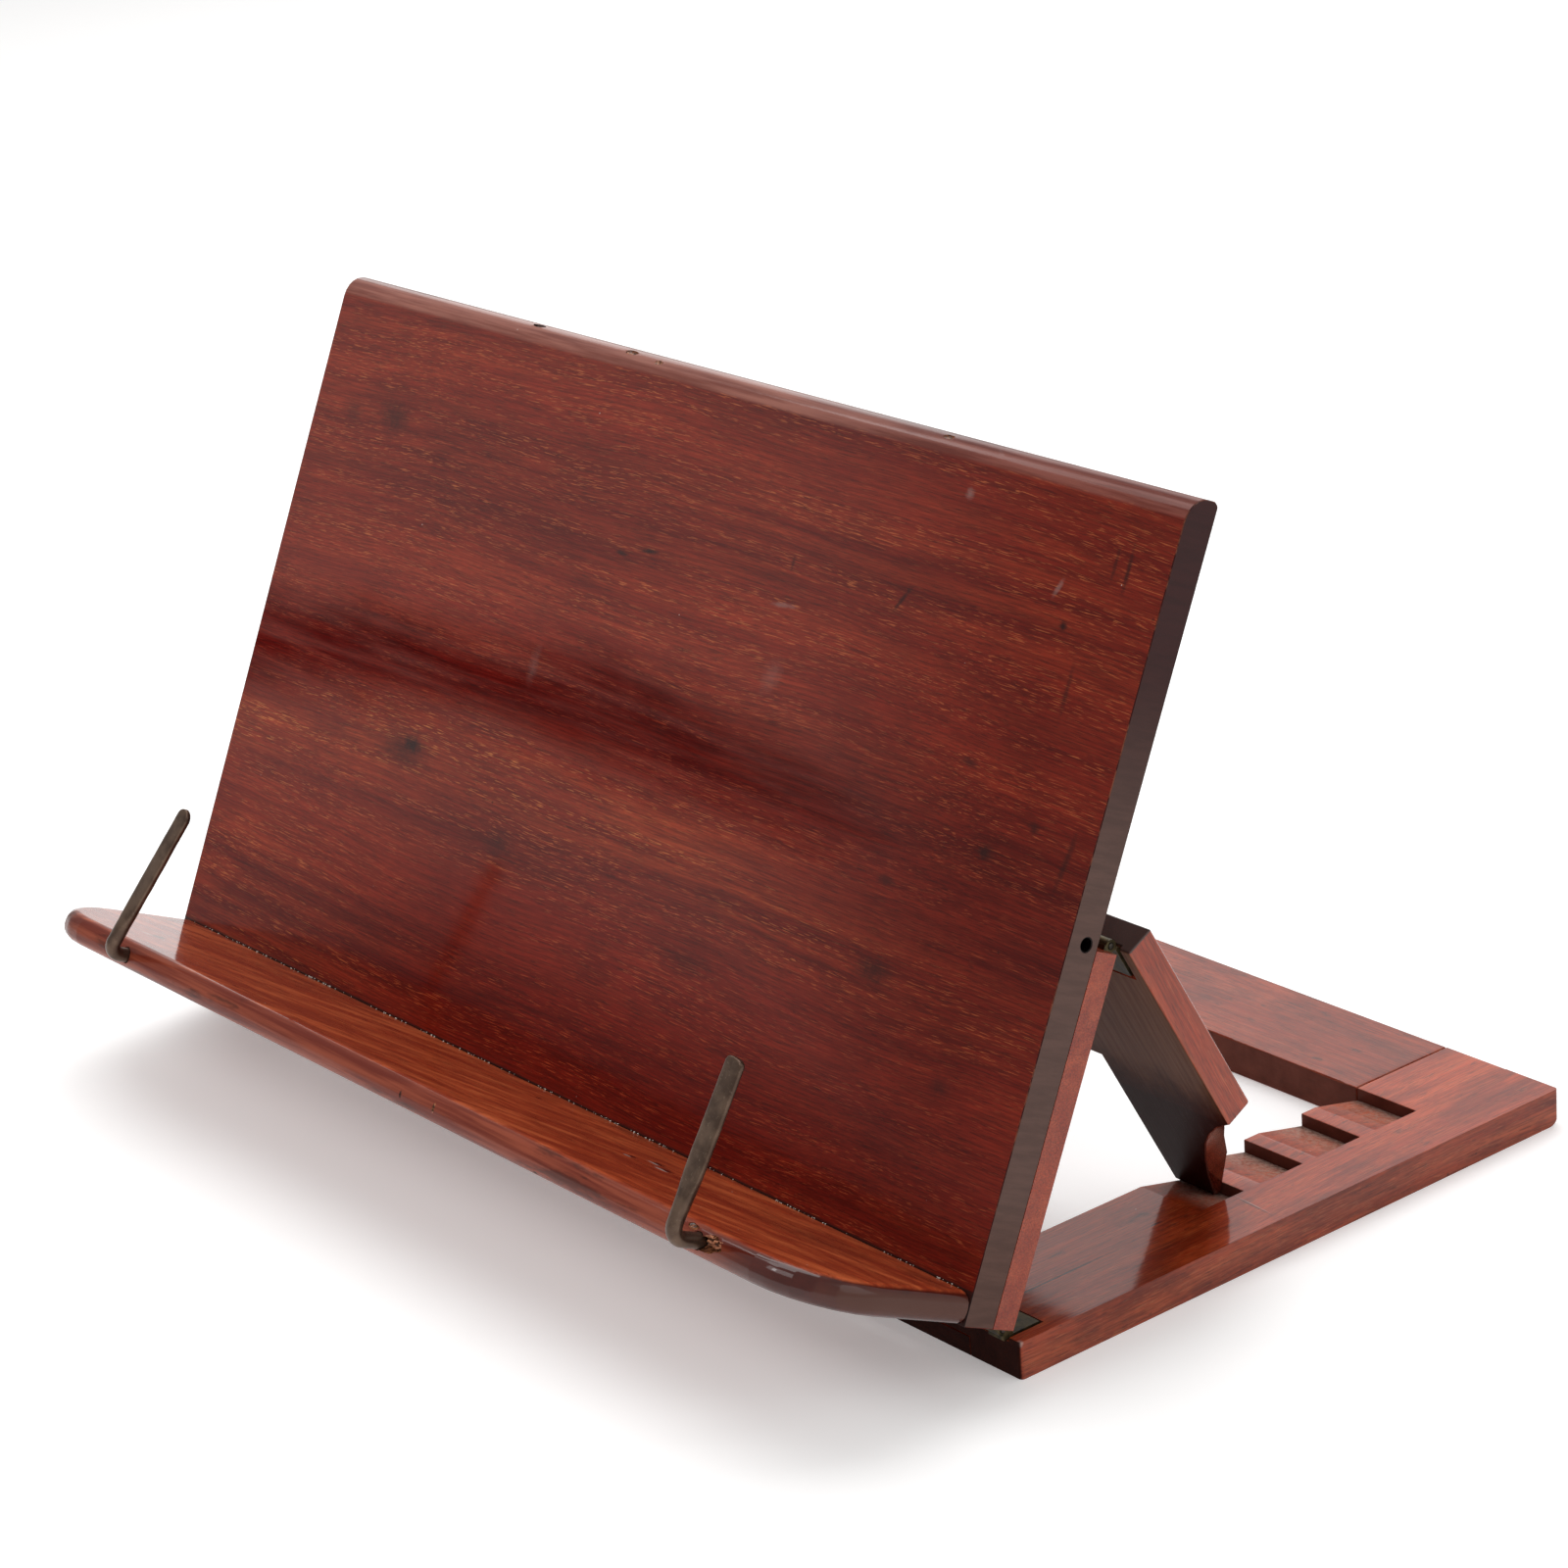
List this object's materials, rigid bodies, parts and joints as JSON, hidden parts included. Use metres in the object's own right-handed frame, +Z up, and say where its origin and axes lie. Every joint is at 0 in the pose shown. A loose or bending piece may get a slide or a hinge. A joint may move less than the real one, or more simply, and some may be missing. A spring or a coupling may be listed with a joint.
{
  "type": "folding book stand",
  "caption": "Folding wooden table book stand: a slope board with a book ledge and turning page fingers, hinged to a flat base frame and held up by a U-shaped prop on a ratchet.",
  "frame": {"origin": "centre of the footprint on the table, at the underside of the base frame", "axes": "+X to the right seen from the front, along the book ledge; the reader's side faces -Y; +Z up"},
  "size_m": [0.457, 0.3456, 0.2676],
  "materials": {
    "mahogany": "French-polished mahogany, worn and dusty",
    "brass": "dark aged brass",
    "steel": "tarnished screw and pin steel",
    "iron": "dark wrought iron, worn bright at the tips"
  },
  "bodies": {
    "base": {"base_front_rail": "mahogany", "base_rear_rail": "mahogany", "base_side_strip_left": "mahogany", "base_side_strip_right": "mahogany", "base_ratchet_strip_left": "mahogany", "base_ratchet_strip_right": "mahogany", "base_hinge_lower_leaf_left": "brass", "base_hinge_lower_leaf_left_screw_1": "steel", "base_hinge_lower_leaf_left_screw_2": "steel", "base_hinge_lower_leaf_right": "brass", "base_hinge_lower_leaf_right_screw_1": "steel", "base_hinge_lower_leaf_right_screw_2": "steel", "base_hinge_pin_left": "steel", "base_hinge_pin_right": "steel"},
    "slope": {"slope_board": "mahogany", "slope_back_panel": "mahogany", "book_ledge": "mahogany", "ledge_screw_1": "steel", "ledge_screw_2": "steel", "ledge_screw_3": "steel", "ledge_screw_4": "steel", "base_hinge_upper_leaf_left": "brass", "base_hinge_upper_leaf_left_screw_1": "steel", "base_hinge_upper_leaf_left_screw_2": "steel", "base_hinge_upper_leaf_right": "brass", "base_hinge_upper_leaf_right_screw_1": "steel", "base_hinge_upper_leaf_right_screw_2": "steel", "prop_hinge_upper_leaf_left": "brass", "prop_hinge_upper_leaf_left_screw_1": "steel", "prop_hinge_upper_leaf_left_screw_2": "steel", "prop_hinge_upper_leaf_right": "brass", "prop_hinge_upper_leaf_right_screw_1": "steel", "prop_hinge_upper_leaf_right_screw_2": "steel", "prop_hinge_pin_left": "steel", "prop_hinge_pin_right": "steel"},
    "prop": {"prop": "mahogany", "prop_hinge_lower_leaf_left": "brass", "prop_hinge_lower_leaf_left_screw_1": "steel", "prop_hinge_lower_leaf_left_screw_2": "steel", "prop_hinge_lower_leaf_right": "brass", "prop_hinge_lower_leaf_right_screw_1": "steel", "prop_hinge_lower_leaf_right_screw_2": "steel"},
    "left_finger": {"page_finger_left": "iron"},
    "right_finger": {"page_finger_right": "iron"}
  },
  "joints": [
    {"name": "slope_tilt", "type": "hinge", "parent": "base", "child": "slope", "pos_m": [0, -0.08182, 0.0163], "axis": [1, 0, 0], "range_deg": [0, 35]},
    {"name": "prop_swing", "type": "hinge", "parent": "slope", "child": "prop", "pos_m": [0, -0.02851, 0.13059], "axis": [1, 0, 0], "range_deg": [0, 126.7]},
    {"name": "left_finger_turn", "type": "hinge", "parent": "slope", "child": "left_finger", "pos_m": [-0.1644, -0.16161, 0.06039], "axis": [0, -0.9096, 0.4155], "range_deg": [-68, 112]},
    {"name": "right_finger_turn", "type": "hinge", "parent": "slope", "child": "right_finger", "pos_m": [0.1724, -0.16161, 0.06039], "axis": [0, -0.9096, 0.4155], "range_deg": [-82.4, 97.6]}
  ]
}
